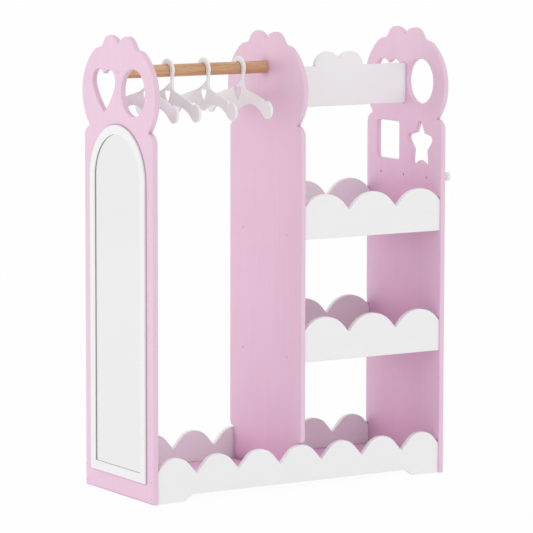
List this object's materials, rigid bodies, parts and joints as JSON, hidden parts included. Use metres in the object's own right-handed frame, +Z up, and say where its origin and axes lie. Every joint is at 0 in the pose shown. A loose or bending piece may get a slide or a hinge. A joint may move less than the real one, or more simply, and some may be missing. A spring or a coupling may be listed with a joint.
{
  "type": "dress up storage unit with mirror",
  "caption": "Child's dress-up unit: crown-headed panels, hanging rod with hangers, scalloped shelves, pegs and an arched side mirror.",
  "frame": {"origin": "on the floor, at the middle of the whole unit's width and depth", "axes": "+Z up; +X from the mirror side to the shelf side; +Y from the front to the back"},
  "size_m": [0.989, 0.3902, 1.221],
  "materials": {
    "pink_board": "satin",
    "white_board": "satin",
    "white_wood": "satin",
    "beech": "satin",
    "mirror": "mirror",
    "steel": "satin"
  },
  "bodies": {
    "unit": {"left_panel": "pink_board", "middle_panel": "pink_board", "right_panel": "pink_board", "bottom_board": "pink_board", "front_rail": "white_board", "rear_rail": "white_board", "upper_shelf": "pink_board", "lower_shelf": "pink_board", "upper_front_fence": "white_board", "upper_rear_fence": "white_board", "lower_front_fence": "white_board", "lower_rear_fence": "white_board", "fascia": "white_board", "hanging_rod": "beech", "peg_1": "white_wood", "peg_2": "white_wood", "peg_3": "white_wood", "mirror_frame": "white_board", "mirror_pane": "mirror", "left_screws": "steel", "right_screws": "steel", "floor_screws": "steel", "rod_screws": "steel", "peg_screws": "steel", "mirror_screws": "steel", "bottom_dowels": "beech", "shelf_screws": "steel", "fence_dowels": "beech", "fascia_dowels": "beech"},
    "hanger_1": {"hanger_1": "white_wood"},
    "hanger_2": {"hanger_2": "white_wood"},
    "hanger_3": {"hanger_3": "white_wood"},
    "hanger_4": {"hanger_4": "white_wood"}
  },
  "joints": [
    {"name": "hanger_1_swing", "type": "hinge", "parent": "unit", "child": "hanger_1", "pos_m": [-0.4042, 0, 1.125], "axis": [1, 0, 0], "range_deg": [-60, 60]},
    {"name": "hanger_2_swing", "type": "hinge", "parent": "unit", "child": "hanger_2", "pos_m": [-0.3372, 0, 1.125], "axis": [1, 0, 0], "range_deg": [-60, 60]},
    {"name": "hanger_3_swing", "type": "hinge", "parent": "unit", "child": "hanger_3", "pos_m": [-0.226, 0, 1.125], "axis": [1, 0, 0], "range_deg": [-60, 60]},
    {"name": "hanger_4_swing", "type": "hinge", "parent": "unit", "child": "hanger_4", "pos_m": [-0.1164, 0, 1.125], "axis": [1, 0, 0], "range_deg": [-60, 60]}
  ]
}
